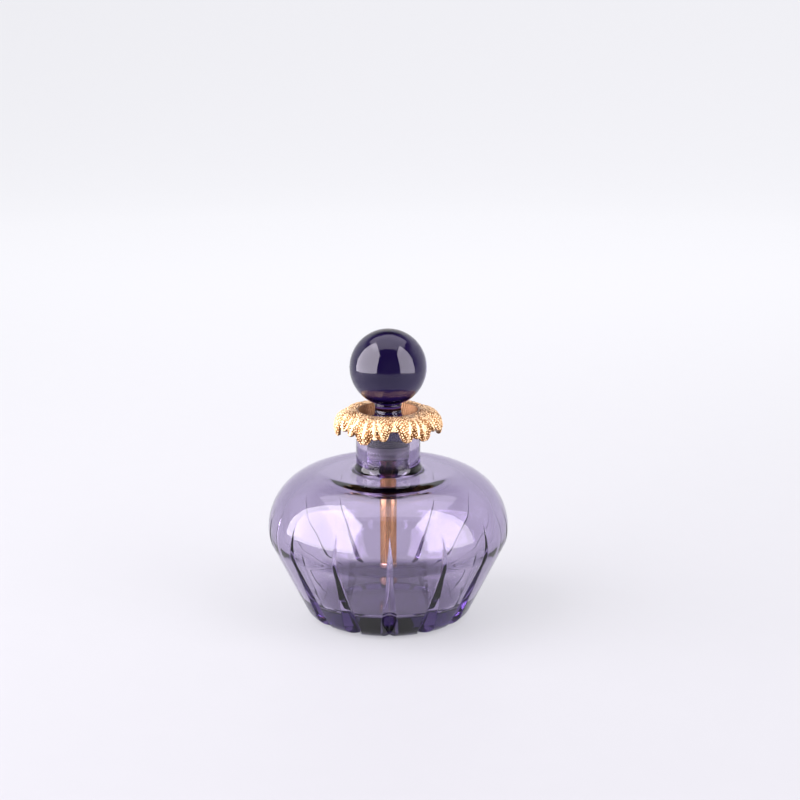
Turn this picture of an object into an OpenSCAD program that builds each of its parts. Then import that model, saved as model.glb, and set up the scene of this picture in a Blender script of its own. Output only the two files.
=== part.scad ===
// Perfume bottle: a fluted glass body, a cast leaf collar on its neck, and a ball stopper
// that carries a dipper rod. Millimetres, +Z up, origin at the middle of the foot.

/* [Glass body] */
// Widest diameter of the body
body_d = 80; // [60:0.5:100]
// Height of the widest ring above the table
equator_z = 30.4; // [27:0.1:34]
// Radius of the shoulder curve above the widest ring
shoulder_r = 19.7; // [17:0.1:20]
// Radius of the tighter curve just under the widest ring
belly_r = 12.3; // [9:0.1:14]
// Slope of the straight lower side, from level
side_slope = 63.75; // [58:0.25:70]
// Rounding where the side turns under to the foot
foot_round = 6; // [4:0.1:7]
// Height of the shallow hollow under the foot
punt_h = 0.8; // [0.4:0.1:1.5]
// Radius of that hollow
punt_r = 17; // [12:0.5:19]
// Thickness of the glass wall
wall_t = 4.6; // [4:0.1:5]
// Thickness of the heavy glass base
base_t = 8.2; // [7.5:0.1:12]
// Rounding inside the bottom of the cavity
cavity_round = 4; // [3:0.5:8]

/* [Cut flutes] */
// Number of mitre cuts round the body
flute_n = 14; // [8:1:16]
// Turn of the first cut
flute_turn = 1; // [0:0.5:12]
// Radius of the curved upper part of a cut
cut_arc_r = 17.1; // [16:0.05:18]
// Distance of that curve's centre from the axis
cut_arc_x = 22.25; // [21:0.05:24]
// Height of that curve's centre
cut_arc_z = 32.45; // [31:0.05:34]
// Slope of the straight lower part of a cut, from level
cut_slope = 58.5; // [58:0.5:62]

/* [Neck] */
// Outer radius of the neck
neck_r = 10.65; // [10:0.05:12]
// Height of the neck's rim
rim_z = 66; // [64:0.5:66.5]
// Radius of the plain bore under the ground socket
bore_r = 7.15; // [7:0.05:7.6]
// Height at which the ground socket starts
socket_z = 54.5; // [53:0.5:56]
// Radius the socket gains per millimetre of height
taper = 0.05; // [0.04:0.01:0.06]

/* [Collar] */
// Inside radius of the funnel at its top
funnel_r = 9.85; // [9:0.05:10.5]
// Height of the funnel's top edge
funnel_z = 70.4; // [69:0.1:72]
// Fine ribs inside the funnel
rib_n = 72; // [48:4:80]
// Turn of the first leaf's centre line
leaf_turn = 7; // [0:1:59]
// Thickness of the leaf metal
leaf_t = 0.95; // [0.7:0.05:1.2]
// Height of the raised veins
vein_h = 0.3; // [0.2:0.05:0.5]
// Open gap between neighbouring leaves
leaf_gap = 0.4; // [0.3:0.05:1]
// Radius of the pierced holes
pierce_r = 0.45; // [0.3:0.05:0.6]

/* [Stopper] */
// Ball diameter
ball_d = 25.4; // [22:0.1:28]
// Height of the ball's centre
ball_z = 84.6; // [83:0.1:87]
// Radius of the slim stem under the ball
stem_r = 4.4; // [4:0.05:4.6]
// Height of the plug's lower end
plug_z = 44.5; // [43:0.5:47]
// Radial running clearance of the plug and its sealing ring
run_gap = 0.05; // [0.03:0.01:0.08]

/* [Dipper] */
// Radius of the rod
rod_r = 2.75; // [2.3:0.05:2.8]
// Radius of the rounded tip
tip_r = 3; // [2.85:0.05:3.1]
// Height of the tip's lowest point
tip_z = 10.7; // [10.5:0.1:12]
// Height of the tip
tip_h = 4.5; // [4:0.1:5]

/* [Hidden] */
$fn = 96;

// Glass
shoulder_x = body_d / 2 - shoulder_r;
belly_x = body_d / 2 - belly_r;
top_z = equator_z + shoulder_r;
side_x0 = belly_x + belly_r * sin(side_slope);
side_z0 = equator_z - belly_r * cos(side_slope);
foot_x = round_x(foot_round, foot_round, 0);
neck_fillet = 2.2;
rim_round = 0.7;
lip_round = 2;
punt_sphere_r = (punt_r * punt_r + punt_h * punt_h) / (2 * punt_h);
cut_reach = 6;
cut_top = 45;
cut_x0 = cut_arc_x + cut_arc_r * sin(cut_slope);
cut_z0 = cut_arc_z - cut_arc_r * cos(cut_slope);
cut_len = cut_z0 / sin(cut_slope);

// Collar
ledge_r = 10.3;
ledge_t = 0.9;
funnel_foot_r = 8.4;
funnel_t = 0.8;
funnel_rim_r = 0.5;
flange_z = 67.4;
flange_t = 0.8;
flange_r = 12.6;
rib_r = 0.25;
rib_depth = 0.15;
leaf_pitch = 60;
leaf_root_r = 10.95;
drape_x = 12.4;
drape_z = 64.6;
drape_r = 5.6;
drape_face = 45;
drape_keep = 0.6;
lobe_x = 9.9;
lobe_z = 69.8;
lobe_cut = 14;

// Stopper
seat_z = 72.7;
bead_z = 71.3;
bead_r = 0.35;
spigot_r = 3;
spigot_h = 5;
glue_gap = 0.05;
flare_r = 2.5;
flare_z = 69.7;
head_r = 7.5;
head_round = 0.6;
ground_z = 58.95;
groove_z = 54.85;
groove_r = 6;
ring_h = 4;
ring_rib_r = 0.3;
ring_rib_pitch = 1.5;
shank_top_r = 6.6;
shank_foot_r = 6.1;
rod_top_z = 55;
pin_r = 1.5;
pin_h = 2.6;
tip_round = 2;
tip_shoulder = 0.8;

// Radius of the straight lower side at height z
function side_x(z) = side_x0 - (side_z0 - z) / tan(side_slope);

// Centre of a circle of radius r that touches a line t inside the side, at height z
function round_x(z, r, t) = side_x(z) - (r + t) / sin(side_slope);

// Radius of the ground socket at height z
function socket_r(z) = bore_r + taper * (z - socket_z);

// Quarter of a disc, outward and up from its centre
module upper_quarter(x, z, r) {
    intersection() {
        translate([x, z]) circle(r);
        translate([x, z]) square(r + 1);
    }
}

// Quarter of a disc, outward and down from its centre
module lower_quarter(x, z, r) {
    intersection() {
        translate([x, z]) circle(r);
        translate([x, z - r - 1]) square(r + 1);
    }
}

// Half section of the outside of the glass
module outer_section() {
    upper_quarter(shoulder_x, equator_z, shoulder_r);
    translate([0, equator_z]) square([shoulder_x, shoulder_r]);
    lower_quarter(belly_x, equator_z, belly_r);
    polygon([[0, 0], [foot_x, 0],
             [foot_x + foot_round * sin(side_slope),
              foot_round - foot_round * cos(side_slope)],
             [side_x0, side_z0], [belly_x, equator_z], [0, equator_z]]);
    translate([foot_x, foot_round]) circle(foot_round);
    translate([0, equator_z]) square([neck_r, rim_z - rim_round - equator_z]);
    translate([0, equator_z]) square([neck_r - rim_round, rim_z - equator_z]);
    translate([neck_r - rim_round, rim_z - rim_round]) circle(rim_round);
    difference() {
        translate([neck_r - 1, top_z - 1]) square(neck_fillet + 1);
        translate([neck_r + neck_fillet, top_z + neck_fillet]) circle(neck_fillet);
    }
}

// Half section of the air inside, cavity and bore
module inner_section() {
    in_z = base_t + cavity_round;
    in_x = round_x(in_z, cavity_round, wall_t);
    in_r = belly_r - wall_t;
    roof_z = top_z - wall_t;
    upper_quarter(shoulder_x, equator_z, shoulder_r - wall_t);
    translate([0, equator_z]) square([shoulder_x, shoulder_r - wall_t]);
    lower_quarter(belly_x, equator_z, in_r);
    polygon([[0, base_t], [in_x, base_t],
             [in_x + cavity_round * sin(side_slope), in_z - cavity_round * cos(side_slope)],
             [belly_x + in_r * sin(side_slope), equator_z - in_r * cos(side_slope)],
             [belly_x, equator_z], [0, equator_z]]);
    translate([in_x, in_z]) circle(cavity_round);
    difference() {
        translate([0, roof_z - 1]) square([bore_r + lip_round, lip_round + 1]);
        translate([bore_r + lip_round, roof_z + lip_round]) circle(lip_round);
    }
    polygon([[0, roof_z], [bore_r, roof_z], [bore_r, socket_z],
             [socket_r(rim_z + 1), rim_z + 1], [0, rim_z + 1]]);
}

// One mitre cut: a square-edged wheel's path over the widest ring, then straight down
module flute_cut() {
    translate([cut_arc_x, 0, cut_arc_z])
        rotate([90, 0, 0])
            rotate([0, 0, cut_slope - 90])
                rotate_extrude(angle = 90 - cut_slope + cut_top)
                    polygon([[cut_arc_r, 0], [cut_arc_r + cut_reach, cut_reach],
                             [cut_arc_r + cut_reach, -cut_reach]]);
    translate([cut_x0, 0, cut_z0])
        rotate([0, 90 - cut_slope, 0])
            translate([0, 0, -cut_len - cut_reach])
                linear_extrude(cut_len + cut_reach)
                    polygon([[0, 0], [cut_reach, cut_reach], [cut_reach, -cut_reach]]);
}

module bottle() {
    color([0.55, 0.45, 0.72, 0.5])
    difference() {
        rotate_extrude() outer_section();
        rotate_extrude() inner_section();
        translate([0, 0, punt_h - punt_sphere_r]) sphere(punt_sphere_r);
        for (i = [0:flute_n - 1])
            rotate([0, 0, flute_turn - 90 + i * 360 / flute_n]) flute_cut();
    }
}

module collar_cup() {
    lean = atan((funnel_r - funnel_foot_r) / (funnel_z - rim_z));
    color([0.8, 0.55, 0.35])
    difference() {
        rotate_extrude() {
            polygon([[funnel_foot_r, rim_z], [ledge_r, rim_z], [ledge_r, rim_z + ledge_t],
                     [funnel_foot_r + funnel_t, rim_z + ledge_t],
                     [funnel_r + funnel_t, funnel_z], [funnel_r, funnel_z]]);
            translate([funnel_foot_r + funnel_t, flange_z])
                square([flange_r - funnel_foot_r - funnel_t, flange_t]);
            translate([funnel_r + funnel_t / 2, funnel_z]) circle(funnel_rim_r);
        }
        for (i = [0:rib_n - 1])
            rotate([0, 0, i * 360 / rib_n])
                translate([funnel_foot_r - rib_r + rib_depth, 0, rim_z])
                    rotate([0, lean, 0])
                        translate([0, 0, -1])
                            cylinder(h = funnel_z - rim_z + 3, r = rib_r);
    }
}

// Pointed leaf lobe: two arcs that meet at the root and at the tip
module lobe(turn, len, wide) {
    arc_r = (len * len + wide * wide) / (4 * wide);
    rotate(turn)
        intersection() {
            translate([len / 2, arc_r - wide / 2]) circle(arc_r);
            translate([len / 2, wide / 2 - arc_r]) circle(arc_r);
        }
}

// Flat outline of a leaf, root at the origin
module leaf_outline() {
    translate([2.2, 0]) circle(6.2);
    lobe(0, 11, 6.6);
    for (side = [-1, 1]) {
        lobe(side * 35, 10.7, 5.6);
        lobe(side * 60, 9.4, 5);
    }
}

// Flat pattern of the raised veins
module vein_pattern() {
    lobe(0, 10.2, 1);
    for (side = [-1, 1]) {
        lobe(side * 35, 9.8, 0.9);
        lobe(side * 60, 8.6, 0.8);
    }
}

// Pierced holes, in pairs beside each long vein
module pierce_pattern() {
    for (turn = [-35, 0, 35])
        for (side = [-1, 1])
            rotate(turn) translate([7.6, side * 1.3]) circle(pierce_r);
}

// Cuts a flat pattern through the drape, square to the leaf's middle
module through_drape() {
    translate([lobe_x, 0, lobe_z])
        rotate([0, drape_face, 0])
            translate([0, 0, -lobe_cut])
                linear_extrude(2 * lobe_cut)
                    children();
}

// Curved skin of the collar, grow thicker on the outside
module drape(grow) {
    rotate_extrude()
        translate([drape_x, drape_z])
            intersection() {
                difference() {
                    circle(drape_r + grow);
                    circle(drape_r - leaf_t);
                }
                rotate(drape_face) translate([drape_keep, -10]) square([10, 20]);
            }
}

// Sector of one leaf, clear of its neighbours and of the funnel
module leaf_sector() {
    reach = 30;
    half = leaf_pitch / 2;
    difference() {
        translate([leaf_gap / 2 / sin(half), 0, flange_z - 8])
            linear_extrude(20)
                polygon([[0, 0], [reach * cos(half), reach * sin(half)],
                         [reach * cos(half), -reach * sin(half)]]);
        cylinder(h = 100, r = leaf_root_r);
    }
}

module leaf(turn) {
    color([0.95, 0.75, 0.45])
    rotate([0, 0, turn])
        intersection() {
            leaf_sector();
            union() {
                difference() {
                    intersection() {
                        drape(0);
                        through_drape() leaf_outline();
                    }
                    through_drape() pierce_pattern();
                }
                intersection() {
                    drape(vein_h);
                    through_drape() vein_pattern();
                }
                translate([0, 0, flange_z + flange_t])
                    cylinder(h = 1.2, r = flange_r - 0.2);
            }
        }
}

module leaf_1() leaf(leaf_turn);
module leaf_2() leaf(leaf_turn + leaf_pitch);
module leaf_3() leaf(leaf_turn + 2 * leaf_pitch);
module leaf_4() leaf(leaf_turn + 3 * leaf_pitch);
module leaf_5() leaf(leaf_turn + 4 * leaf_pitch);
module leaf_6() leaf(leaf_turn + 5 * leaf_pitch);

module stopper_ball() {
    color([0.2, 0.13, 0.38])
    difference() {
        translate([0, 0, ball_z]) sphere(ball_d / 2);
        translate([0, 0, seat_z - 5]) cylinder(h = 5, r = stem_r + 1);
        translate([0, 0, seat_z - 1]) cylinder(h = spigot_h + 1.2, r = spigot_r + glue_gap);
    }
}

module stopper_plug() {
    plug_top_r = socket_r(rim_z) - run_gap;
    plug_low_r = socket_r(ground_z) - run_gap;
    color([0.32, 0.24, 0.5])
    difference() {
        rotate_extrude() {
            square_from(plug_z, seat_z, groove_r - 2.5);
            square_from(seat_z - 0.1, seat_z + spigot_h, spigot_r);
            square_from(flare_z, seat_z, stem_r);
            translate([stem_r, bead_z]) circle(bead_r);
            difference() {
                square_from(flare_z - flare_r, flare_z, stem_r + flare_r);
                translate([stem_r + flare_r, flare_z]) circle(flare_r);
            }
            square_from(rim_z, flare_z - flare_r - head_round, head_r);
            square_from(rim_z, flare_z - flare_r, head_r - head_round);
            translate([head_r - head_round, flare_z - flare_r - head_round])
                circle(head_round);
            polygon([[0, ground_z], [plug_low_r, ground_z], [plug_top_r, rim_z],
                     [0, rim_z]]);
            square_from(groove_z, ground_z, groove_r);
            polygon([[0, plug_z + 1], [shank_foot_r, plug_z + 1],
                     [shank_top_r, groove_z], [0, groove_z]]);
            square_from(plug_z, plug_z + 1, shank_foot_r - 1);
            translate([shank_foot_r - 1, plug_z + 1]) circle(1);
        }
        translate([0, 0, plug_z - 1])
            cylinder(h = rod_top_z - plug_z + 1, r = rod_r + glue_gap);
    }
}

// Half section of a plain shaft between two heights
module square_from(z0, z1, r) {
    translate([0, z0]) square([r, z1 - z0]);
}

module seal_ring() {
    low = groove_z + run_gap;
    lip = run_gap + ring_rib_r;
    color([0.85, 0.83, 0.9, 0.6])
    rotate_extrude() {
        polygon([[groove_r + run_gap, low], [socket_r(low) - lip, low],
                 [socket_r(low + ring_h) - lip, low + ring_h],
                 [groove_r + run_gap, low + ring_h]]);
        for (i = [-1:1]) {
            z = low + ring_h / 2 + i * ring_rib_pitch;
            translate([socket_r(z) - lip, z]) circle(ring_rib_r);
        }
    }
}

module dipper_rod() {
    color([0.78, 0.52, 0.36]) {
        translate([0, 0, tip_z + tip_h])
            cylinder(h = rod_top_z - tip_z - tip_h, r = rod_r);
        translate([0, 0, tip_z + tip_h - pin_h]) cylinder(h = pin_h, r = pin_r);
    }
}

module dipper_tip() {
    color([0.88, 0.62, 0.46])
    difference() {
        rotate_extrude() {
            square_from(tip_z, tip_z + tip_h, tip_r - tip_round);
            square_from(tip_z + tip_round, tip_z + tip_h, tip_r - tip_shoulder);
            square_from(tip_z + tip_round, tip_z + tip_h - tip_shoulder, tip_r);
            intersection() {
                translate([tip_r - tip_round, tip_z + tip_round]) circle(tip_round);
                square_from(tip_z - 1, tip_z + tip_h, tip_r + 1);
            }
            translate([tip_r - tip_shoulder, tip_z + tip_h - tip_shoulder])
                circle(tip_shoulder);
        }
        translate([0, 0, tip_z + tip_h - pin_h - 0.2])
            cylinder(h = pin_h + 1, r = pin_r + glue_gap);
    }
}

bottle();
collar_cup();
leaf_1();
leaf_2();
leaf_3();
leaf_4();
leaf_5();
leaf_6();
stopper_ball();
stopper_plug();
seal_ring();
dipper_rod();
dipper_tip();
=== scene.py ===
# %% [markdown]
# # A cut-glass perfume bottle with a gilt leaf collar
# The real bottle is violet glass, blown thick and then cut with fourteen flutes. A gilt collar of
# cast leaves sits on its neck, and a dark ball stopper carries a dipper down into the cavity.
# The CAD frame holds every real size. Here each part gets a finer surface and a finish. Outer
# sizes and heights are read back from the frame, and the section numbers repeat the CAD's.

import math

import bpy
import numpy as np
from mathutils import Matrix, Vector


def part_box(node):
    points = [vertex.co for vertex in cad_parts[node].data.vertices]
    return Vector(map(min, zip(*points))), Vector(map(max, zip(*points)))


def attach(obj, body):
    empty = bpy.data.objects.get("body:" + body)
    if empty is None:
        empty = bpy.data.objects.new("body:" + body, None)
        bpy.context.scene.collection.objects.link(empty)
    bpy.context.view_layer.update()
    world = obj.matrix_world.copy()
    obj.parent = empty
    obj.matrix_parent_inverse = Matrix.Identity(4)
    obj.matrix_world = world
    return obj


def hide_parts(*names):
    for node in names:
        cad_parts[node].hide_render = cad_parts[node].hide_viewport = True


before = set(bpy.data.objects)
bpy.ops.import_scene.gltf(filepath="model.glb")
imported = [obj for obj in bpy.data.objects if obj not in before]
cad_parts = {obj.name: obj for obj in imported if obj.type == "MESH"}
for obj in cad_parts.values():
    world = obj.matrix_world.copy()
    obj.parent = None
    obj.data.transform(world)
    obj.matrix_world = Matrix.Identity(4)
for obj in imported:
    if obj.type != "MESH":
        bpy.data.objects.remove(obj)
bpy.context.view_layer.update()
MM = 0.001


def box_mm(node):
    """Lowest and highest corner of a CAD node, in millimetres."""
    low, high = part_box(node)
    return np.array(low) / MM, np.array(high) / MM


# %% [markdown]
# ## From a section line to a solid
# Nearly every part here was turned, blown or ground round one axis, so its shape is a section
# line spun round. Blender's Spin or Screw tools could do it, but the flutes and the ribs need
# the spun points moved one by one afterwards. So the helpers below work on a plain grid of
# points, one row per step along the section and one column per step round the axis.

# %% Section lines
def arc(x, z, radius, start, end, steps):
    """Points on an arc; angles in degrees, 0 is outward and 90 is up."""
    turn = np.radians(np.linspace(start, end, steps))
    return np.column_stack([x + radius * np.cos(turn), z + radius * np.sin(turn)])


def rounded(corners, steps=5):
    """A section line through corners (outward, up, rounding radius)."""
    line = []
    for i, (x, z, radius) in enumerate(corners):
        here = np.array([x, z], float)
        if radius == 0:
            line.append(here)
            continue
        back = np.array(corners[i - 1][:2]) - here
        ahead = np.array(corners[i + 1][:2]) - here
        back, ahead = back / np.linalg.norm(back), ahead / np.linalg.norm(ahead)
        half = math.acos(np.clip(back @ ahead, -1, 1)) / 2
        middle = (back + ahead) / np.linalg.norm(back + ahead)
        centre = here + middle * radius / math.sin(half)
        first = here + back * radius / math.tan(half) - centre
        last = here + ahead * radius / math.tan(half) - centre
        for share in np.linspace(0, 1, steps):
            spoke = first * (1 - share) + last * share
            line.append(centre + spoke / np.linalg.norm(spoke) * radius)
    return np.array(line)


def subdivided(line, step):
    """The same line with no stretch longer than step."""
    points = [line[0]]
    for a, b in zip(line[:-1], line[1:]):
        pieces = max(1, math.ceil(np.linalg.norm(b - a) / step))
        points += [a + (b - a) * k / pieces for k in range(1, pieces + 1)]
    return np.array(points)


# %% Points and faces to a piece
def piece_of(name, points, faces):
    """A smooth shaded piece from points in millimetres."""
    mesh = bpy.data.meshes.new(name)
    mesh.from_pydata((points * MM).tolist(), [], faces)
    mesh.validate()
    mesh.polygons.foreach_set("use_smooth", [True] * len(mesh.polygons))
    piece = bpy.data.objects.new(name, mesh)
    bpy.context.scene.collection.objects.link(piece)
    print(f"{name}: {len(mesh.polygons)} faces")
    return piece


# %% Grids of points to closed meshes
def skin(name, grid, folded=False, capped=True):
    """A closed mesh over a grid in millimetres. Columns run round in a loop.
    The end rows sit on the axis and close to a point each. Folded closes them as strips
    instead, and capped=False leaves the last one open."""
    rows, columns = grid.shape[:2]
    ids = np.arange(rows * columns).reshape(rows, columns)
    if not folded:
        for row in (0, rows - 1) if capped else (0,):
            ids[row, :] = ids[row, 0]
    right = np.roll(ids, -1, axis=1)
    quads = np.stack([ids[:-1], right[:-1], right[1:], ids[1:]], axis=-1).reshape(-1, 4)
    faces = quads.tolist()
    if folded:
        half = columns // 2
        for row, order in ((0, -1), (rows - 1, 1)):
            for j in range(half - 1):
                strip = [ids[row, j], ids[row, j + 1],
                         ids[row, columns - 2 - j], ids[row, columns - 1 - j]]
                faces.append([int(v) for v in strip[::order]])
    faces = [list(dict.fromkeys(face)) for face in faces]
    used = sorted({v for face in faces for v in face})
    order_of = {v: i for i, v in enumerate(used)}
    faces = [[order_of[v] for v in face] for face in faces]
    return piece_of(name, grid.reshape(-1, 3)[used], faces)


def spun(line, columns):
    """Grid made by turning a section line round the axis."""
    turn = np.linspace(0, 2 * math.pi, columns, endpoint=False)
    x, z = line[:, :1], line[:, 1:]
    return np.stack([x * np.cos(turn), x * np.sin(turn), z + 0 * turn], axis=-1)


def place(piece, node, finish, body):
    """The piece stands for its CAD node, rides on its body and wears its finish."""
    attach(piece, body)
    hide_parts(node)
    piece.data.materials.append(finish)
    return piece


# %% [markdown]
# ## Shader maths in plain expressions
# A finish is a small sum of noises, masks and colours. Wiring each Math node by hand hides the
# sum, so one small class wraps a socket and lets plain Python operators add the nodes.

# %% The socket wrapper
class Wire:
    """A shader socket that can be used in a sum."""

    def __init__(self, finish, socket):
        self.finish = finish
        self.socket = socket

    def math(self, operation, a, b=None):
        sockets = {0: a} if b is None else {0: a, 1: b}
        return self.finish.node("ShaderNodeMath", {"operation": operation}, sockets)

    def __add__(self, other):
        return self.math("ADD", self, other)

    def __radd__(self, other):
        return self.math("ADD", other, self)

    def __sub__(self, other):
        return self.math("SUBTRACT", self, other)

    def __rsub__(self, other):
        return self.math("SUBTRACT", other, self)

    def __mul__(self, other):
        return self.math("MULTIPLY", self, other)

    def __rmul__(self, other):
        return self.math("MULTIPLY", other, self)

    def most(self, other):
        """The larger of the two."""
        return self.math("MAXIMUM", self, other)

    def between(self, low, high):
        """0 at low, 1 at high, smooth in between."""
        return self.finish.node(
            "ShaderNodeMapRange", {"interpolation_type": "SMOOTHSTEP"},
            {"Value": self, "From Min": low, "From Max": high})


class Finish:
    """A node material while it is being put together."""

    def __init__(self, name):
        self.material = bpy.data.materials.new(name)
        self.material.use_nodes = True
        self.tree = self.material.node_tree
        self.tree.nodes.clear()
        self.end = self.tree.nodes.new("ShaderNodeOutputMaterial")

    def node(self, kind, settings=None, sockets=None, output=0):
        """Adds one node: its settings first, then values or links for its sockets."""
        made = self.tree.nodes.new(kind)
        for key, value in (settings or {}).items():
            setattr(made, key, value)
        for key, value in (sockets or {}).items():
            socket = made.inputs[key]
            if isinstance(value, Wire):
                self.tree.links.new(value.socket, socket)
            elif isinstance(value, tuple) and socket.type == "RGBA":
                socket.default_value = (*value, 1)
            else:
                socket.default_value = value
        return Wire(self, made.outputs[output])

    def place(self):
        """Position on the part, in metres."""
        return self.node("ShaderNodeNewGeometry")

    def noise(self, scale, detail=2.0, distortion=0.0):
        return self.node("ShaderNodeTexNoise", None, {
            "Vector": self.place(), "Scale": scale, "Detail": detail,
            "Distortion": distortion})

    def blend(self, share, a, b):
        """Colour a turning into colour b."""
        return self.node("ShaderNodeMix", {"data_type": "RGBA"},
                         {0: share, 6: a, 7: b}, output=2)

    def bump(self, height, strength, distance):
        return self.node("ShaderNodeBump", None, {
            "Height": height, "Strength": strength, "Distance": distance})

    def done(self, shader, volume=None):
        self.tree.links.new(shader.socket, self.end.inputs["Surface"])
        if volume is not None:
            self.tree.links.new(volume.socket, self.end.inputs["Volume"])
        return self.material


# %% [markdown]
# ## Violet glass
# Coloured glass has a clear surface and colour all through, so thick places look darker. A
# tinted surface can't do that. The tint here is a volume absorption, given as how much of each
# colour a metre of glass takes out, and the surface keeps only a faint hand-blown waviness.

# %% Glass finishes
def tinted_glass(name, taken, wave, frost=None):
    """Glass that takes out the given share of red, green and blue per metre."""
    f = Finish(name)
    density = max(taken) * 1.2
    tint = tuple(1 - t / density for t in taken)
    volume = f.node("ShaderNodeVolumeAbsorption", None, {"Color": tint, "Density": density})
    roughness = f.noise(60, 3).between(0.45, 0.75) * 0.01
    if frost is not None:
        low, high = frost
        height = f.node("ShaderNodeSeparateXYZ", None, {0: f.place()}, output=2)
        band = height.between(low, low + 0.0006) * (1 - height.between(high - 0.0006, high))
        roughness = roughness + band * (0.05 + f.noise(1800, 3) * 0.08)
    clean = f.blend(f.noise(25, 2).between(0.3, 0.7), (1.0, 1.0, 1.0), (0.97, 0.965, 0.98))
    shader = f.node("ShaderNodeBsdfPrincipled", None, {
        "Base Color": clean, "Roughness": roughness, "IOR": 1.5,
        "Transmission Weight": 1.0,
        "Normal": f.bump(f.noise(32, 1.5), 0.25, wave)})
    return f.done(shader, volume)


VIOLET_TAKEN = (70, 85, 49)
DEEP_TAKEN = (190, 240, 125)
body_glass = tinted_glass("violet_blown_glass", VIOLET_TAKEN, 0.0004)
ball_glass = tinted_glass("deep_violet_glass", DEEP_TAKEN, 0.00005)
print("glass:", body_glass.name, ball_glass.name)

# %% [markdown]
# ## The glass body
# The body was blown in a mould: a low shoulder, a widest ring, a straight side and a heavy
# base. Fourteen V flutes were then ground with a mitre wheel, each starting as a point on the
# shoulder and getting wider and deeper towards the foot. A boolean cut would leave long thin
# faces that shade badly. Instead the columns of the grid follow each flute's middle and its
# two edges, and the points between them are pushed down on to the flute's two planes.

# %% Section of the body
_, bottle_high = box_mm("bottle")
BODY_R, RIM_Z = float(bottle_high[0]), float(bottle_high[2])
EQUATOR_Z = 30.4
SHOULDER_R, BELLY_R = 19.7, 12.3
SIDE = 63.75
FOOT_ROUND, WALL, BASE = 6.0, 4.6, 8.2
NECK_R, BORE_R, SOCKET_Z, TAPER = 10.65, 7.15, 54.5, 0.05
CAVITY_ROUND, LIP, FILLET = 4.0, 2.0, 2.2
side_sin, side_cos = math.sin(math.radians(SIDE)), math.cos(math.radians(SIDE))
belly_x, shoulder_x = BODY_R - BELLY_R, BODY_R - SHOULDER_R
side_x0, side_z0 = belly_x + BELLY_R * side_sin, EQUATOR_Z - BELLY_R * side_cos
top_z = EQUATOR_Z + SHOULDER_R


def round_x(z, radius, inset):
    """Where a circle's centre goes so that it touches a line inset from the side."""
    return side_x0 - (side_z0 - z) * side_cos / side_sin - (radius + inset) / side_sin


def socket_r(z):
    return BORE_R + TAPER * (z - SOCKET_Z)


foot_x = round_x(FOOT_ROUND, FOOT_ROUND, 0)
punt = np.column_stack([np.linspace(0, 17, 12), 0.8 * (1 - np.linspace(0, 1, 12) ** 2)])
outer_line = np.vstack([
    punt[:-1],
    rounded([(16, 0.09, 0), (17, 0, 0.5), (foot_x, 0, 0)], 4)[1:],
    arc(foot_x, FOOT_ROUND, FOOT_ROUND, -90, SIDE - 90, 12)[1:],
    arc(belly_x, EQUATOR_Z, BELLY_R, SIDE - 90, 0, 14),
    arc(shoulder_x, EQUATOR_Z, SHOULDER_R, 0, 90, 48)[1:],
    arc(NECK_R + FILLET, top_z + FILLET, FILLET, 270, 180, 10),
    rounded([(NECK_R, top_z + 3, 0), (NECK_R, RIM_Z, 0.7), (socket_r(RIM_Z), RIM_Z, 0.25),
             (BORE_R, SOCKET_Z, 0)], 5)[1:]])
in_z = BASE + CAVITY_ROUND
in_x = round_x(in_z, CAVITY_ROUND, WALL)
inner_line = np.vstack([
    arc(BORE_R + LIP, top_z - WALL + LIP, LIP, 180, 270, 8),
    arc(shoulder_x, EQUATOR_Z, SHOULDER_R - WALL, 90, 0, 32),
    arc(belly_x, EQUATOR_Z, BELLY_R - WALL, 0, SIDE - 90, 10)[1:],
    arc(in_x, in_z, CAVITY_ROUND, SIDE - 90, -90, 16),
    [[0, BASE]]])
outer_fine = subdivided(outer_line, 0.7)
inner_fine = subdivided(inner_line, 1.2)
print("section points:", len(outer_fine), "+", len(inner_fine))

# %% Path of the mitre wheel
FLUTES, FLUTE_TURN = 14, 1.0
WHEEL_R, WHEEL_X, WHEEL_Z, CUT_SLOPE = 17.1, 22.25, 32.45, 58.5
FLUTE_LIMIT_Z = 44.0
cut_out = np.array([math.sin(math.radians(CUT_SLOPE)), -math.cos(math.radians(CUT_SLOPE))])


def above_cut(x, z):
    """How far a point stands above the bottom of a cut, and which way is out of the cut."""
    dx, dz = x - WHEEL_X, z - WHEEL_Z
    reach = np.maximum(np.hypot(dx, dz), 1e-6)
    curved = dz * cut_out[0] - dx * cut_out[1] > 0
    height = np.where(curved, reach - WHEEL_R, dx * cut_out[0] + dz * cut_out[1] - WHEEL_R)
    out_x = np.where(curved, dx / reach, cut_out[0])
    out_z = np.where(curved, dz / reach, cut_out[1])
    return np.where((z < FLUTE_LIMIT_Z) & (x > 15), height, -9.0), out_x, out_z


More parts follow.
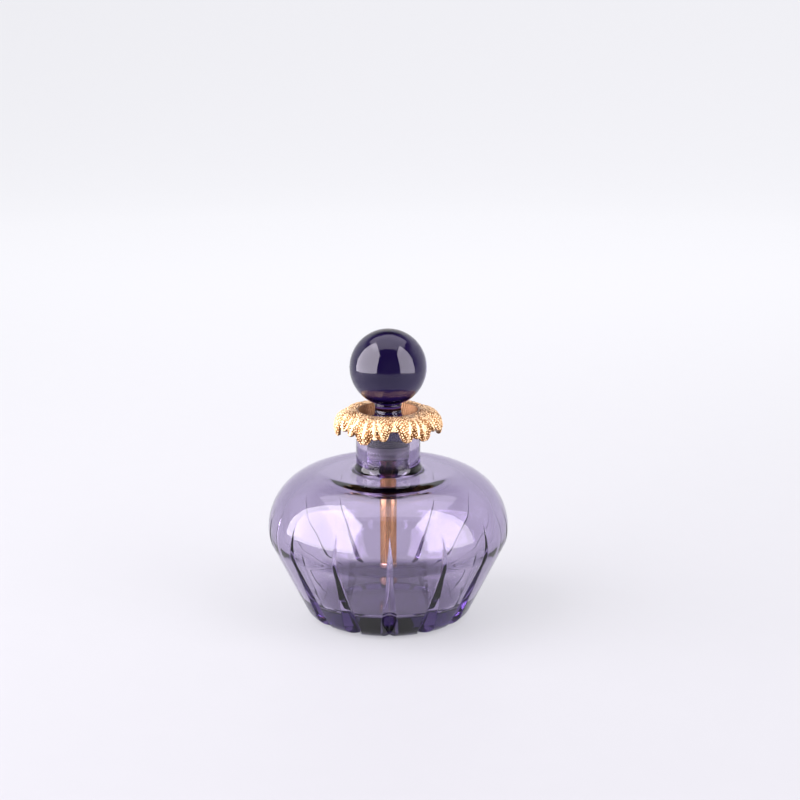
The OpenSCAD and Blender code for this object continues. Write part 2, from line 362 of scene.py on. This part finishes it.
def fluted(line, crisp=0.05):
    """Grid of the outside, with its columns laid along every flute."""
    x, z = line[:, 0], line[:, 1]
    half = x * math.pi / FLUTES
    width = np.zeros_like(x)
    for _ in range(5):
        turn = np.where(x > 0, width / np.maximum(x, 1e-6), 0)
        width = np.clip(above_cut(x * np.cos(turn), z)[0], 0, None)
    edge = np.minimum(np.maximum(width, 0.15), 0.7 * half)
    inside = np.array([0, 0.06, 0.16, 0.35, 0.6, 0.82, 0.93, 0.98])
    outside = np.array([0.01, 0.04, 0.12, 0.3, 0.55, 0.8])
    across = np.concatenate([edge[:, None] * inside,
                             edge[:, None] + (half - edge)[:, None] * outside], axis=1)
    across = np.concatenate([-half[:, None], -across[:, :0:-1], across], axis=1)
    turn = across / np.maximum(x, 1e-6)[:, None]
    depth, side = x[:, None] * np.cos(turn), x[:, None] * np.sin(turn)
    level = np.repeat(z[:, None], turn.shape[1], axis=1)
    height, out_x, out_z = above_cut(depth, level)
    over = height - np.sqrt(side ** 2 + crisp ** 2)
    push = np.where(height > -8, 0.5 * (over + np.sqrt(over ** 2 + crisp ** 2)), 0)
    push = np.where(push < 0.004, 0, push)
    depth, level = depth - out_x * push, level - out_z * push
    sectors = []
    for k in range(FLUTES):
        way = math.radians(FLUTE_TURN - 90 + k * 360 / FLUTES)
        sectors.append(np.stack([depth * math.cos(way) - side * math.sin(way),
                                 depth * math.sin(way) + side * math.cos(way), level], axis=-1))
    return np.concatenate(sectors, axis=1)


outside = fluted(outer_fine)
turns = np.arctan2(outside[80, :, 1], outside[80, :, 0])
inside = np.stack([inner_fine[:, :1] * np.cos(turns), inner_fine[:, :1] * np.sin(turns),
                   inner_fine[:, 1:] + 0 * turns], axis=-1)
bottle = skin("fluted_glass_body", np.concatenate([outside, inside]))
place(bottle, "bottle", body_glass, "bottle_body")

# %% [markdown]
# ## Ball, plug and sealing ring
# The ball is dark because an inch of deep violet glass takes out nearly all light. Under it a
# slim stem flares into a plug, ground to a 1 in 10 taper to fit the neck. A soft ridged ring in
# the plug's groove keeps the scent in. All three are spun sections. The spigot that holds the
# ball is left out of the look, because a glued glass joint hardly shows.

# %% Ball
_, ball_high = box_mm("stopper_ball")
BALL_R = float(ball_high[0])
ball_z = float(ball_high[2]) - BALL_R
STEM_R = 4.4
seat_turn = -math.degrees(math.acos(STEM_R / BALL_R))
seat_z = ball_z + BALL_R * math.sin(math.radians(seat_turn))
ball_line = np.vstack([[[0, seat_z]], [[STEM_R - 0.3, seat_z]],
                       arc(0, ball_z, BALL_R, seat_turn, 90, 72)])
ball_line[-1, 0] = 0
ball = skin("ball_stopper", spun(subdivided(ball_line, 1.5), 120))
place(ball, "stopper_ball", ball_glass, "stopper")
print("ball radius", round(BALL_R, 2), "centre height", round(ball_z, 2))

# %% Plug
GROUND_Z, GROOVE_Z, GROOVE_R = 58.95, 54.85, 6.0
plug_low, _ = box_mm("stopper_plug")
_, rod_high = box_mm("dipper_rod")
ROD_R, ROD_TOP = float(rod_high[0]), float(rod_high[2])
plug_foot = float(plug_low[2])
RUN = 0.05
HEAD_R, HEAD_TOP = 7.5, 67.2
FLARE_R, FLARE_Z = 2.5, 69.7
BEAD_R, BEAD_Z = 0.25, 72.1
stem_top = seat_z - 0.03
plug_line = np.vstack([
    [[0, ROD_TOP + 0.05]],
    rounded([(ROD_R + 0.05, ROD_TOP + 0.05, 0), (ROD_R + 0.05, plug_foot, 0.2),
             (6.1, plug_foot, 1.0), (6.6, GROOVE_Z, 0.15), (GROOVE_R, GROOVE_Z, 0),
             (GROOVE_R, GROUND_Z, 0), (socket_r(GROUND_Z) - RUN, GROUND_Z, 0.15),
             (socket_r(RIM_Z) - RUN, RIM_Z, 0), (HEAD_R, RIM_Z + 0.2, 0),
             (HEAD_R, HEAD_TOP, 0.6), (6.7, HEAD_TOP, 0)], 6),
    arc(STEM_R + FLARE_R, FLARE_Z, FLARE_R, 268, 180, 14),
    rounded([(STEM_R, FLARE_Z, 0), (STEM_R, BEAD_Z - BEAD_R, 0),
             (STEM_R + BEAD_R, BEAD_Z, 0.12), (STEM_R, BEAD_Z + BEAD_R, 0),
             (STEM_R, stem_top, 0.12), (0, stem_top, 0)], 4)])
plug_glass = tinted_glass("plug_glass", tuple(1.5 * t for t in DEEP_TAKEN), 0.00008,
                          frost=(GROUND_Z * MM, RIM_Z * MM))
plug = skin("ground_plug", spun(subdivided(plug_line, 1.2), 96))
place(plug, "stopper_plug", plug_glass, "stopper")

# %% Sealing ring
ring_low, ring_high = box_mm("seal_ring")
ring_foot, ring_top = float(ring_low[2]), float(ring_high[2])
RIB, RIB_STEP = 0.3, 1.5
ring_line = [np.array([[GROOVE_R + RUN, ring_foot]])]
for k in (-1, 0, 1):
    z = (ring_foot + ring_top) / 2 + k * RIB_STEP
    ring_line.append(arc(socket_r(z) - RUN - RIB, z, RIB, -90, 90, 9))
ring_line += [np.array([[socket_r(ring_top) - RUN - RIB, ring_top],
                        [GROOVE_R + RUN, ring_top], [GROOVE_R + RUN, ring_foot]])]


def soft_plastic():
    """Frosted polyethylene: milky, with light passing through it."""
    f = Finish("frosted_plastic")
    cloud = f.noise(400, 3)
    shader = f.node("ShaderNodeBsdfPrincipled", None, {
        "Base Color": f.blend(cloud, (0.58, 0.54, 0.66), (0.72, 0.7, 0.78)),
        "Roughness": 0.25 + cloud * 0.12, "IOR": 1.45, "Transmission Weight": 0.75,
        "Normal": f.bump(f.noise(2500, 2), 0.2, 0.00005)})
    return f.done(shader)


# %% [markdown]
# A ring has no point on the axis, so its section is a closed loop. The helper below joins the
# last row back to the first by laying the loop across the columns instead.

# %% Ring mesh
def ring_skin(name, line, columns):
    """Closed mesh of a ring from a closed section."""
    grid = spun(line[:-1], columns)
    rows = len(line) - 1
    ids = np.arange(rows * columns).reshape(rows, columns)
    right, up = np.roll(ids, -1, axis=1), np.roll(ids, -1, axis=0)
    quads = np.stack([ids, right, np.roll(right, -1, axis=0), up], axis=-1).reshape(-1, 4)
    return piece_of(name, grid.reshape(-1, 3), quads.tolist())


ring = ring_skin("sealing_ring", np.vstack(ring_line), 96)
place(ring, "seal_ring", soft_plastic(), "seal")

# %% [markdown]
# ## Dipper
# The dipper is a copper-toned metal rod with a rounded end, polished but faintly drawn along
# its length. Drawn metal reflects in long soft streaks, so the bump is stretched along Z.

# %% Copper-toned metal
def drawn_metal(name, dark, light):
    f = Finish(name)
    streaks = f.node("ShaderNodeMapping", None, {"Vector": f.place(), "Scale": (1, 1, 0.04)})
    lines = f.node("ShaderNodeTexNoise", None, {"Vector": streaks, "Scale": 2600, "Detail": 3})
    cloud = f.noise(220, 3)
    shader = f.node("ShaderNodeBsdfPrincipled", None, {
        "Base Color": f.blend(cloud.between(0.3, 0.7), dark, light), "Metallic": 1.0,
        "Roughness": 0.2 + lines * 0.12, "Normal": f.bump(lines, 0.15, 0.00004)})
    return f.done(shader)


rod_metal = drawn_metal("copper_toned_rod", (0.82, 0.46, 0.18), (0.93, 0.58, 0.26))
# The tip's colour is a lighter copy of the rod's metal, painted light for the tip's bright look.
tip_metal_painted_light = drawn_metal("copper_toned_tip_painted_light", (0.95, 0.62, 0.4), (1.0, 0.74, 0.52))

# %% Rod and tip
tip_low, tip_high = box_mm("dipper_tip")
TIP_R, tip_foot, tip_top = float(tip_high[0]), float(tip_low[2]), float(tip_high[2])
rod_line = rounded([(0, tip_top, 0), (ROD_R, tip_top, 0.1), (ROD_R, ROD_TOP, 0.15),
                    (0, ROD_TOP, 0)], 4)
rod = skin("dipper_rod_drawn", spun(subdivided(rod_line, 2.0), 48))
place(rod, "dipper_rod", rod_metal, "stopper")
tip_line = rounded([(0, tip_foot, 0), (TIP_R, tip_foot, 2.0), (TIP_R, tip_top, 0.8),
                    (0, tip_top, 0)], 9)
tip = skin("dipper_tip_rounded", spun(subdivided(tip_line, 0.6), 48))
place(tip, "dipper_tip", tip_metal_painted_light, "stopper")

# %% [markdown]
# ## Gilt finishes
# The collar is cast metal, gilt, and its colour carries painted shade: darker gold in the
# hollows, pits and furrows. How high each point stands is stored on the mesh while it is
# modelled, and the finish reads it back, so the painted shade falls exactly where the casting is
# deep.

# %% Gilt
def gilt(name, bright, deep, bead_size, bead_depth, shine):
    """Cast gilt metal with a beaded ground and painted shade: deep in the hollows and between the
    beads, bright on the heights.
    """
    f = Finish(name)
    height = f.node("ShaderNodeAttribute", {"attribute_name": "height"}, output=2)
    smooth = f.node("ShaderNodeAttribute", {"attribute_name": "smooth"}, output=2)
    beads = f.node("ShaderNodeTexVoronoi", {"feature": "F1"},
                   {"Vector": f.place(), "Scale": 1 / bead_size})
    cloud = f.noise(500, 3)
    rough = 1 - smooth
    # Painted shade: a low stored height and the gaps between beads turn the colour deep; the
    # cloud adds random tone.
    painted_shade_and_tone = (height + (cloud - 0.5) * 0.8 - beads * rough * 1.2).between(-0.45, 0.3)
    shader = f.node("ShaderNodeBsdfPrincipled", None, {
        "Base Color": f.blend(painted_shade_and_tone, deep, bright), "Metallic": 1.0,
        "Roughness": shine + rough * 0.16 + cloud * 0.08,
        "Normal": f.bump((1 - beads) * rough + cloud * 0.3, 0.9, bead_depth)})
    return f.done(shader)


# Leaf gilt: its deep colour is painted shade for the hollows, pits, saddles and undersides.
leaf_gilt = gilt("leaf_gilt_painted_shade", (0.9, 0.65, 0.38), (0.3, 0.15, 0.055), 0.0007, 0.00016, 0.33)
# Cup gilt: the whole colour is set dark as painted shade inside the funnel under the ball.
cup_gilt = gilt("cup_gilt_painted_shade", (0.4, 0.22, 0.11), (0.14, 0.065, 0.025), 0.0006, 0.00003, 0.28)


def note(mesh, name, values):
    """Stores one number per vertex for the finish to read."""
    layer = mesh.attributes.new(name, "FLOAT", "POINT")
    layer.data.foreach_set("value", np.asarray(values, np.float32))


# %% Collar cup
_, cup_high = box_mm("collar_cup")
FUNNEL_TOP = float(cup_high[2]) - 0.5
FOOT_R, LEDGE_R, LEDGE_T = 8.4, 10.3, 0.9
FLANGE_R, FLANGE_FOOT, FLANGE_TOP = 12.6, 67.4, 68.2
RIBS = 72
LIP_TOP = FUNNEL_TOP - 0.05
cup_line = rounded([
    (FOOT_R, RIM_Z, 0), (LEDGE_R, RIM_Z, 0.1), (LEDGE_R, RIM_Z + LEDGE_T, 0.15),
    (9.2, RIM_Z + LEDGE_T, 0.2), (9.41, FLANGE_FOOT, 0.1), (FLANGE_R, FLANGE_FOOT, 0.2),
    (FLANGE_R, FLANGE_TOP, 0.2), (9.74, FLANGE_TOP, 0.1),
    (10.6, LIP_TOP, 0.15), (9.9, LIP_TOP, 0.15), (9.85, FUNNEL_TOP - 0.2, 0),
    (FOOT_R, RIM_Z, 0)], 4)
cup_fine = subdivided(cup_line, 0.6)
cup = ring_skin("collar_cup_ribbed", cup_fine, 432)
co = np.array([v.co for v in cup.data.vertices]) / MM
radius, turn = np.hypot(co[:, 0], co[:, 1]), np.arctan2(co[:, 1], co[:, 0])
funnel = (radius < 9.88) & (co[:, 2] > RIM_Z + 0.2) & (co[:, 2] < FUNNEL_TOP)
furrow = np.where(funnel, 0.15 * np.abs(np.sin(RIBS / 2 * turn)) ** 0.7, 0.0)
co[:, :2] *= (1 + furrow / radius)[:, None]
cup.data.vertices.foreach_set("co", (co * MM).ravel())
# Painted shade: the funnel's furrows get a lower height, so their colour is darker.
note(cup.data, "height", np.where(funnel, 0.9 - furrow * 5, 0.7))
note(cup.data, "smooth", np.full(len(co), 0.7))
place(cup, "collar_cup", cup_gilt, "bottle_body")

# %% [markdown]
# ## Leaves
# Each of the six leaves is a small casting: lobes that fan out from the funnel's edge, droop
# over and end in rounded tips. A smooth raised vein runs along every lobe, the ground between
# the veins is beaded, and near the tips lies a net of small pits. Sculpting six of
# them by hand would be slow, and a boolean would lose the soft cast edges. So a leaf is one
# grid: columns across it, rows from the root to the lobed outline. A height for every point is
# worked out from its distance to the nearest vein, and the grid is lifted by that height.

# %% The curve the leaves follow
DRAPE_X, DRAPE_Z, DRAPE_R = 12.4, 65.0, 5.35
ROOT_TURN = 114.0
LEAF_PITCH, LEAF_TURN = 60.0, 7.0
LEAF_T = 0.95


def drape(turn, run, lift, tuck):
    """Point at an angle round the collar, a run down the curve and a lift off it."""
    lean = np.radians(ROOT_TURN) - run / DRAPE_R
    reach = DRAPE_R + lift
    x = DRAPE_X + reach * np.cos(lean) - tuck
    z = DRAPE_Z + reach * np.sin(lean)
    return np.stack([x * np.cos(turn), x * np.sin(turn), z], axis=-1)


# %% One leaf
BEAD = 2 * math.pi / 0.85


def leaf_grid(lobes, columns=150, rows=110):
    """Front and back of a leaf, with the height and smoothness of its front."""
    half = LEAF_PITCH / 2 - 0.2
    across = np.linspace(-half, half, columns)
    ends = [length - 2.6 * (np.abs(across - at) / wide) ** 3 for at, length, wide in lobes]
    end = np.maximum(np.max(ends, axis=0), 8.9)
    run = np.linspace(0, 1, rows)[:, None] * end
    turn = across + 0 * run
    reach = DRAPE_X + DRAPE_R * np.cos(np.radians(ROOT_TURN) - run / DRAPE_R)
    gaps = np.array([np.radians(turn - at * np.clip(run / length, 0.02, 1) ** 0.55) * reach
                     for at, length, wide in lobes])
    ranked = np.sort(np.abs(gaps), axis=0)
    gap = ranked[0]
    vein = np.exp(-(gap / 0.4) ** 2)
    valley = np.exp(-((ranked[1] - ranked[0]) / 0.7) ** 2) * np.clip(run / 9, 0, 1) ** 2
    fade = np.clip(run / 3, 0, 1) * np.clip((end - run) / 2.5, 0.25, 1)
    swell = np.sin(turn * 0.9 + run * 1.1) * np.sin(run * 1.7 - turn * 0.5)
    wave = run + 0.3 * np.sin(gap * 2.2)
    grain = (np.cos(BEAD * wave) + np.cos(BEAD * (wave / 2 + 0.87 * gap))
             + np.cos(BEAD * (wave / 2 - 0.87 * gap))) / 3
    margin = end - run
    near_tip = np.clip((margin - 0.6) / 0.3, 0, 1) * np.clip((3.4 - margin) / 0.6, 0, 1)
    net = np.clip(-grain * 3.5 - 0.5, 0, 1) * near_tip * np.clip(gap / 0.3 - 1.3, 0, 1)
    saddle = np.clip((np.abs(turn) - 25.5) / 4, 0, 1)
    saddle = saddle * np.clip((run - 3) / 3, 0, 1)
    ground = (1 - vein) * (1 - saddle)
    dome = np.cos(np.clip(gap / 2.6, 0, 1) * math.pi / 2) * np.clip(run / 6, 0, 1)
    relief = (0.1 * vein * fade + 0.17 * grain * ground - 0.55 * net * ground + 0.22 * dome
              - 0.22 * valley - 0.04 + 0.1 * swell) * (1 - 0.8 * saddle)
    rim = np.sqrt(1 - (1 - np.clip(margin / 0.5, 0, 1)) ** 2)
    root = np.clip(run / 0.5, 0, 1)
    lift = -0.83 + (0.83 + relief) * np.minimum(rim, 0.4 + 0.6 * root)
    lift = lift + 0.5 * np.exp(-(run / 1.3) ** 2)
    tuck = 1.2 * (np.abs(turn) / 30) ** 4 * np.clip(run / 6, 0, 1)
    under = np.full(run.shape, -LEAF_T)
    # The height stored for the finish is lowered in the valleys between lobes, in the pits and on
    # the saddle, so painted shade darkens them.
    height = 0.45 + 0.3 * vein + 0.7 * grain * ground - 0.5 * valley - 1.8 * net * ground
    height = height - 0.45 * saddle
    return turn, run, lift, under, tuck, height, np.clip(0.5 * vein + saddle, 0, 1)


def leaf_piece(index, lobes):
    """Builds leaf number index and stores its height and smoothness."""
    turn, run, lift, under, tuck, height, polish = leaf_grid(lobes)
    way = np.radians(turn + LEAF_TURN + index * LEAF_PITCH)
    front = drape(way, run, lift, tuck)
    back = drape(way, run, under, tuck)[:, ::-1]
    grid = np.concatenate([front, back], axis=1)
    piece = skin(f"leaf_{index + 1}_cast", grid[:, ::-1], folded=True)
    blank = np.zeros(height.shape)
    # The back gets a low height, so painted shade darkens the leaf's underside.
    heights = np.concatenate([height, blank + 0.1], axis=1)[:, ::-1]
    polishes = np.concatenate([polish, blank + 0.6], axis=1)[:, ::-1]
    note(piece.data, "height", heights.ravel())
    note(piece.data, "smooth", np.clip(polishes, 0, 1).ravel())
    return piece


# Lobes of the two wax patterns used in turn: angle across, length and half width.
chance = np.random.default_rng(7)
plans = [[(-22, 11.7, 8.0), (-3.5, 14.1, 9.5), (9, 11.4, 6.5), (18.5, 12.1, 7.0)],
         [(-15.5, 12.6, 8.0), (-4, 11.6, 7.0), (6.5, 13.4, 9.5), (24, 10.8, 6.0)]]
for index in range(6):
    plan = plans[index % 2]
    sway, stretch = chance.uniform(-1, 1, 4), chance.uniform(-0.3, 0.3, 4)
    lobes = [(at + sway[k], length + stretch[k], wide)
             for k, (at, length, wide) in enumerate(plan)]
    leaf = leaf_piece(index, lobes)
    place(leaf, f"leaf_{index + 1}", leaf_gilt, "bottle_body")

# %% [markdown]
# ## Table, studio and light
# The bottle stands on a pale paper sweep that glows softly towards the back, like the lit
# acrylic used for glassware, so the glass always has something bright behind it. The front of
# the room is dark, and the glow is painted darker towards it as lamp light falling off, and
# painted darker round the foot as the bottle's shadow. Two tall soft boxes stand left and right,
# a dimmer one hangs overhead, and the dark gap between them draws the shape of the ball.

# %% Paper sweep
def lit_paper():
    """Pale paper that glows on the table and at the back, with the glow painted darker towards
    the room as falling lamp light and round the bottle's foot as its shadow.
    """
    f = Finish("lit_paper")
    y = f.node("ShaderNodeSeparateXYZ", None, {0: f.place()}, output=1)
    z = f.node("ShaderNodeSeparateXYZ", None, {0: f.place()}, output=2)
    back = y.between(-0.35, 0.7)
    low = 1 - z.between(0.02, 0.25)
    reach = f.node("ShaderNodeVectorMath", {"operation": "LENGTH"}, {0: f.place()}, output=1)
    # Painted shadow: the glow drops to a quarter inside 16 mm of the axis and is full beyond 28
    # mm, under and round the foot.
    shade = reach.between(0.016, 0.028) * 0.76 + 0.24
    # Painted fall-off of lamp light: the glow fades out towards the front of the room and high up
    # the sweep.
    painted_falloff = y.between(-0.65, -0.45) * (1 - z.between(0.8, 1.4))
    glow = (low.most(back) * 0.42 + back * 0.35) * painted_falloff * shade
    grain = f.noise(90, 4)
    shader = f.node("ShaderNodeBsdfPrincipled", None, {
        "Base Color": f.blend(grain, (0.145, 0.148, 0.15), (0.152, 0.155, 0.157)),
        "Roughness": 0.55, "Specular IOR Level": 0.25,
        "Emission Color": f.blend(glow, (0, 0, 0), (0.98, 0.98, 1.02)),
        "Emission Strength": 1.0})
    return f.done(shader)


sweep_line = np.vstack([[[0, -0.05]], [[300, -0.05]], [[700, -0.05]],
                        arc(900, 500, 500, -90, 0, 16), [[1400, 2000]]])
sweep = skin("paper_sweep", spun(subdivided(sweep_line, 120), 96), capped=False)
sweep.data.materials.append(lit_paper())


# %% Lights
def soft_box(name, spot, turn, size, radiance):
    """A flat lamp; turn is how its face is rotated, radiance how bright the face looks."""
    lamp = bpy.data.lights.new(name, "AREA")
    lamp.shape = "RECTANGLE"
    lamp.size, lamp.size_y = size
    lamp.energy = radiance * math.pi * size[0] * size[1]
    lamp.color = (1.0, 0.93, 1.04)
    holder = bpy.data.objects.new(name, lamp)
    holder.location = spot
    holder.rotation_euler = [math.radians(a) for a in turn]
    holder.visible_camera = False
    bpy.context.scene.collection.objects.link(holder)
    print(name, "gives", round(lamp.energy, 1), "W")


soft_box("left_soft_box", (-0.45, -0.29, 0.5), (90, 0, -90), (0.86, 1.0), 7.2)
soft_box("right_soft_box", (0.45, -0.33, 0.47), (90, 0, 90), (0.56, 0.95), 5.7)
soft_box("top_soft_box", (0, 0.08, 0.7), (0, 0, 0), (1.0, 0.67), 2.0)

world = bpy.data.worlds.new("dim_room")
world.use_nodes = True
world.node_tree.nodes["Background"].inputs["Color"].default_value = (0.9, 0.88, 1.0, 1)
world.node_tree.nodes["Background"].inputs["Strength"].default_value = 0.12
bpy.context.scene.world = world
bpy.context.scene.view_settings.view_transform = "Standard"

# %% [markdown]
# ## Camera
# A short telephoto lens a little above the bottle, as a product picture is usually taken: it
# keeps the body's outline true and shows the table through the thick base.

# %% Camera
lens = bpy.data.cameras.new("camera")
lens.lens, lens.sensor_width = 84.6, 36
camera = bpy.data.objects.new("camera", lens)
camera.location = (0.0039, -0.6, 0.2243)
camera.rotation_euler = (math.radians(90 - 14.11), 0, 0)
bpy.context.scene.collection.objects.link(camera)
bpy.context.scene.camera = camera

# %% [markdown]
# ## Update the scene

# %% Finish
bpy.context.view_layer.update()
